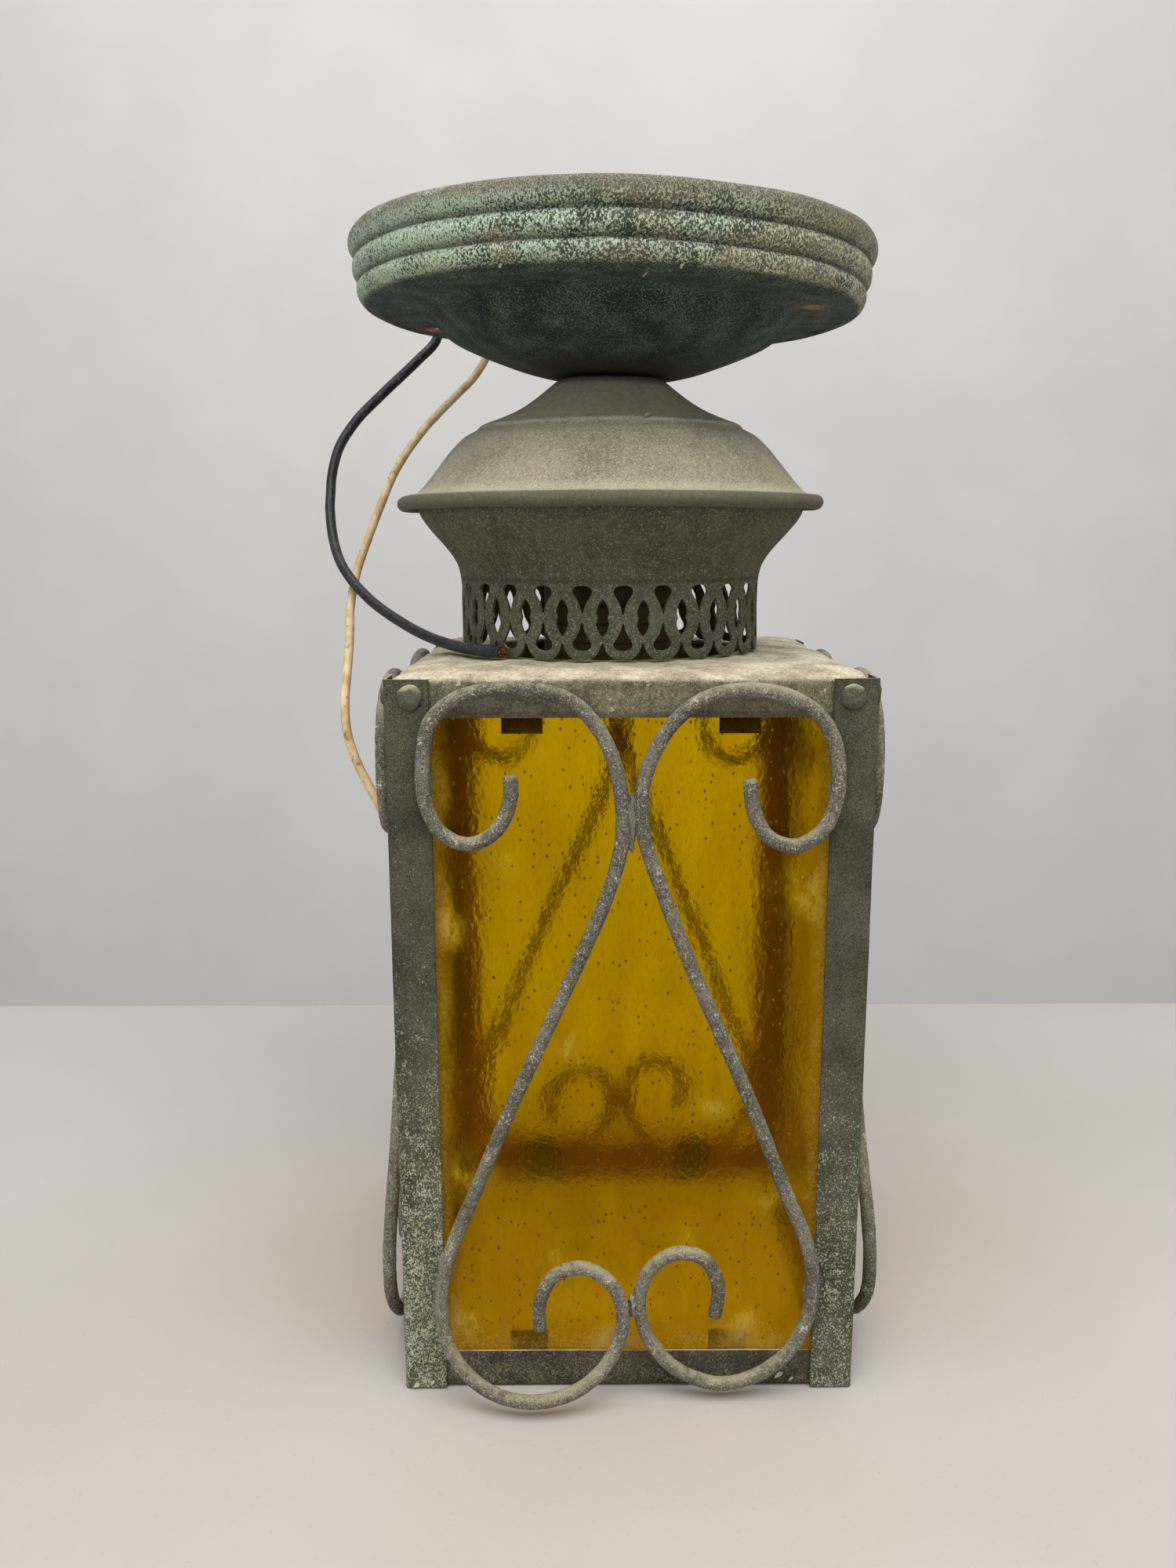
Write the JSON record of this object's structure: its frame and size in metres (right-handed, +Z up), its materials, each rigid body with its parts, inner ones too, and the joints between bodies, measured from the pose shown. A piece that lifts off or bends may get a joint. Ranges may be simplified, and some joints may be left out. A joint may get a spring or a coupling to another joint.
{
  "type": "hanging lantern",
  "caption": "Square glazed hanging lantern with bent-rod scrolls, pierced vent gallery, round hood, ceiling canopy, lamp socket and two loose supply wires.",
  "frame": {"origin": "on the axis of the threaded stem, at the height of the corner strips' feet", "axes": "+Z up along the stem, -Y towards the side seen first, +X to the right of that side"},
  "size_m": [0.1742, 0.1588, 0.3367],
  "materials": {
    "canopy_patina": "old green and brown patina over ribbed sheet metal, dusty and speckled",
    "hood_metal": "aged grey-brown metal with dust and dry streaks",
    "cap_metal": "aged metal under a pale dusty film",
    "strip_metal": "aged grey-green metal with pale speckles",
    "rail_metal": "aged dark metal with pale speckles",
    "rod_metal": "aged dark grey rod with dust and solder",
    "steel": "dull plated steel",
    "brass": "dull brass",
    "insulator": "dark moulded insulator",
    "amber_glass": "deep amber seeded glass with a wavy surface",
    "black_insulation": "black wire insulation",
    "tan_insulation": "cream wire insulation with a brown cast"
  },
  "bodies": {
    "root": {"canopy": "canopy_patina", "canopy_locknut": "steel", "canopy_washer": "steel", "stem_nipple": "brass", "hood": "hood_metal", "hood_locknut": "steel", "gallery": "hood_metal", "socket_cap": "steel", "socket_body": "insulator", "socket_screw_shell": "brass", "socket_contact": "brass", "top_cap": "cap_metal", "bottom_frame": "rail_metal", "corner_strip_front_left": "strip_metal", "corner_strip_front_right": "strip_metal", "corner_strip_back_right": "strip_metal", "corner_strip_back_left": "strip_metal", "rivet_front_left_a": "strip_metal", "rivet_front_left_b": "strip_metal", "rivet_front_right_a": "strip_metal", "rivet_front_right_b": "strip_metal", "rivet_back_right_a": "strip_metal", "rivet_back_right_b": "strip_metal", "rivet_back_left_a": "strip_metal", "rivet_back_left_b": "strip_metal", "glass_front": "amber_glass", "clip_front_top_left": "rail_metal", "clip_front_top_right": "rail_metal", "clip_front_bottom_left": "rail_metal", "clip_front_bottom_right": "rail_metal", "scroll_front_left": "rod_metal", "scroll_front_right": "rod_metal", "glass_right": "amber_glass", "clip_right_top_left": "rail_metal", "clip_right_top_right": "rail_metal", "clip_right_bottom_left": "rail_metal", "clip_right_bottom_right": "rail_metal", "scroll_right_left": "rod_metal", "scroll_right_right": "rod_metal", "glass_back": "amber_glass", "clip_back_top_left": "rail_metal", "clip_back_top_right": "rail_metal", "clip_back_bottom_left": "rail_metal", "clip_back_bottom_right": "rail_metal", "scroll_back_left": "rod_metal", "scroll_back_right": "rod_metal", "glass_left": "amber_glass", "clip_left_top_left": "rail_metal", "clip_left_top_right": "rail_metal", "clip_left_bottom_left": "rail_metal", "clip_left_bottom_right": "rail_metal", "scroll_left_left": "rod_metal", "scroll_left_right": "rod_metal", "wire_black": "black_insulation", "wire_white": "tan_insulation"}
  },
  "joints": []
}
